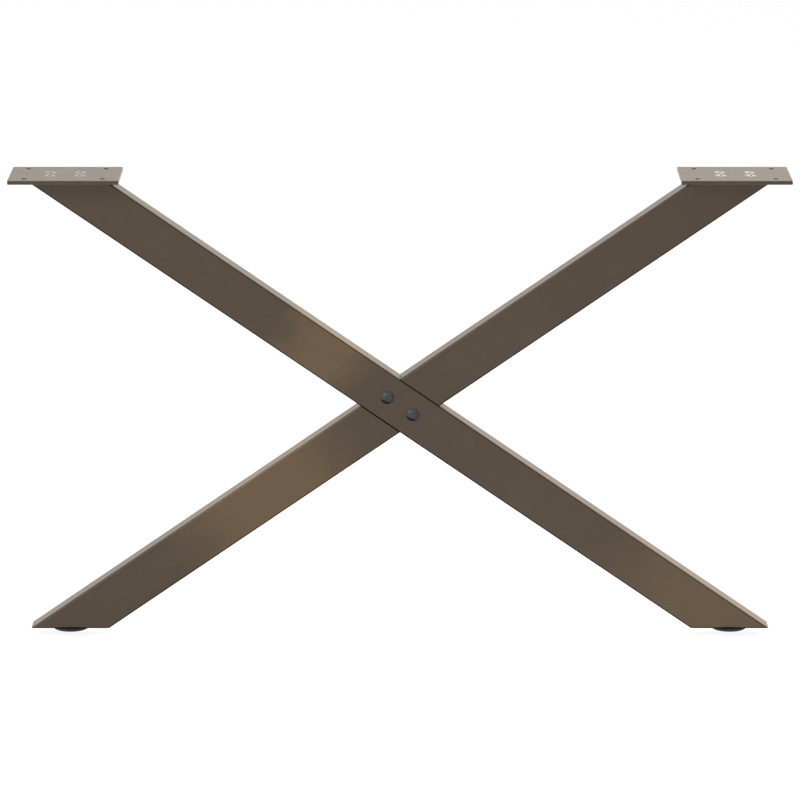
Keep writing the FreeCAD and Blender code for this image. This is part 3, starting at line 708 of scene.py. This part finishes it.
pad_rows += [
    ring(FLANGE_DIAMETER / 2 + FLANGE_GAP + FLANGE_EDGE, PAD_HEIGHT),
    ring(FLANGE_DIAMETER / 2 + FLANGE_GAP, PAD_HEIGHT - FLANGE_EDGE),
    ring(FLANGE_DIAMETER / 2 + FLANGE_GAP, FLANGE_SEAT),
    ring(0.0, FLANGE_SEAT),
]
for side in ("left", "right"):
    body = side + "_foot"
    foot_place = Matrix.Translation((middle(body + "_pad").x, 0.0, 0.0))
    foot_pieces = [
        (body + "_threaded_stem", stem_rows, zinc_steel, body + "_stem", "bright_steel"),
        (body + "_moulded_pad", pad_rows, black_plastic, body + "_pad", "black_plastic"),
    ]
    for name, rows, material, node, slot in foot_pieces:
        mesh = turned(name, rows)
        mesh.transform(foot_place)
        piece = shown(name, mesh, material)
        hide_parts(node)
        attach(piece, body)


# Floor, surroundings and soft studio light

# The floor lies where the feet reach when they are screwed out.
FOOT_TRAVEL = 10 * MM
FLOOR_LEVEL = pad_low.z - FOOT_TRAVEL
FLOOR_HALF = 20.0
CORNER_SIGNS = ((-1, -1), (1, -1), (1, 1), (-1, 1))


def seen_directly(start):
    """1 for rays from the camera and for those that a gloss or a clear piece sends on."""
    path = start.add("ShaderNodeLightPath")
    return path.out("Is Camera Ray") + path.out("Is Glossy Ray") + path.out("Is Transmission Ray")


floor_material, floor_start = new_finish("pale_floor")
floor_grain = noise(floor_start.add("ShaderNodeTexCoord", output="Object"), scale=3.0)
shadow_catch = floor_start.add("ShaderNodeBsdfDiffuse", None, {"Color": tone(125, 125, 125)})
glow = floor_start.add("ShaderNodeEmission", None, {"Color": (1, 1, 1, 1), "Strength": 0.9})
pale = floor_start.add("ShaderNodeAddShader", None, {0: shadow_catch, 1: glow})
bounce_colour = floor_grain.smooth(0.3, 0.7).tint(tone(142, 142, 141), tone(148, 148, 147))
bounce = floor_start.add("ShaderNodeBsdfDiffuse", None, {"Color": bounce_colour})
floor_shader = floor_start.add("ShaderNodeMixShader", None,
                               {0: seen_directly(floor_start), 1: bounce, 2: pale})
floor_start.add("ShaderNodeOutputMaterial", None, {"Surface": floor_shader})
floor_material.cycles.emission_sampling = "NONE"

floor_mesh = bpy.data.meshes.new("floor")
floor_corners = [(x * FLOOR_HALF, y * FLOOR_HALF, FLOOR_LEVEL) for x, y in CORNER_SIGNS]
floor_mesh.from_pydata(floor_corners, [], [(0, 1, 2, 3)])
shown("floor", floor_mesh, floor_material)

world = bpy.data.worlds.new("white_surround")
world.use_nodes = True
world.node_tree.nodes.clear()
world_start = Wire(world.node_tree)
white = world_start.add("ShaderNodeBackground", None, {"Color": (1, 1, 1, 1), "Strength": 1.0})
fill = world_start.add("ShaderNodeBackground", None, {"Color": (1, 1, 1, 1), "Strength": 0.42})
surround = world_start.add("ShaderNodeMixShader", None, {0: seen_directly(world_start), 1: fill, 2: white})
world_start.add("ShaderNodeOutputWorld", None, {"Surface": surround})
world.cycles.sampling_method = "NONE"
bpy.context.scene.world = world


def soft_box(name, place, width, height, watts, colour=(1.0, 1.0, 1.0)):
    """A large soft lamp aimed at the crossing."""
    lamp = bpy.data.lights.new(name, "AREA")
    lamp.shape = "RECTANGLE"
    lamp.size = width
    lamp.size_y = height
    lamp.energy = watts
    lamp.color = colour
    holder = bpy.data.objects.new(name, lamp)
    holder.location = place
    holder.rotation_euler = (CROSSING - Vector(place)).to_track_quat("-Z", "Y").to_euler()
    bpy.context.scene.collection.objects.link(holder)


soft_box("rear_right_box", (2.2, 1.2, 2.6), width=3.0, height=2.0, watts=150.0)
soft_box("front_left_box", (-2.8, -2.9, 2.8), width=2.0, height=1.6, watts=110.0, colour=(1.0, 0.97, 0.92))


# Camera at about the photograph's angle, tilted down because it has no lens shift

CAMERA_DISTANCE = 7.0
CAMERA_RISE = math.radians(13.5)
CAMERA_PITCH = math.radians(13.46)
CAMERA_LENS = 202.2
FRAME_CENTRE = Vector((0.0, 0.0, 0.363))

camera = bpy.data.cameras.new("camera")
camera.lens = CAMERA_LENS
camera.sensor_width = 36.0
camera.clip_end = 100.0
camera_holder = bpy.data.objects.new("camera", camera)
towards_camera = Vector((0.0, -math.cos(CAMERA_RISE), math.sin(CAMERA_RISE)))
camera_holder.location = FRAME_CENTRE + CAMERA_DISTANCE * towards_camera
camera_holder.rotation_euler = (math.pi / 2 - CAMERA_PITCH, 0.0, 0.0)
bpy.context.scene.collection.objects.link(camera_holder)
bpy.context.scene.camera = camera_holder
bpy.context.scene.view_settings.view_transform = "Standard"
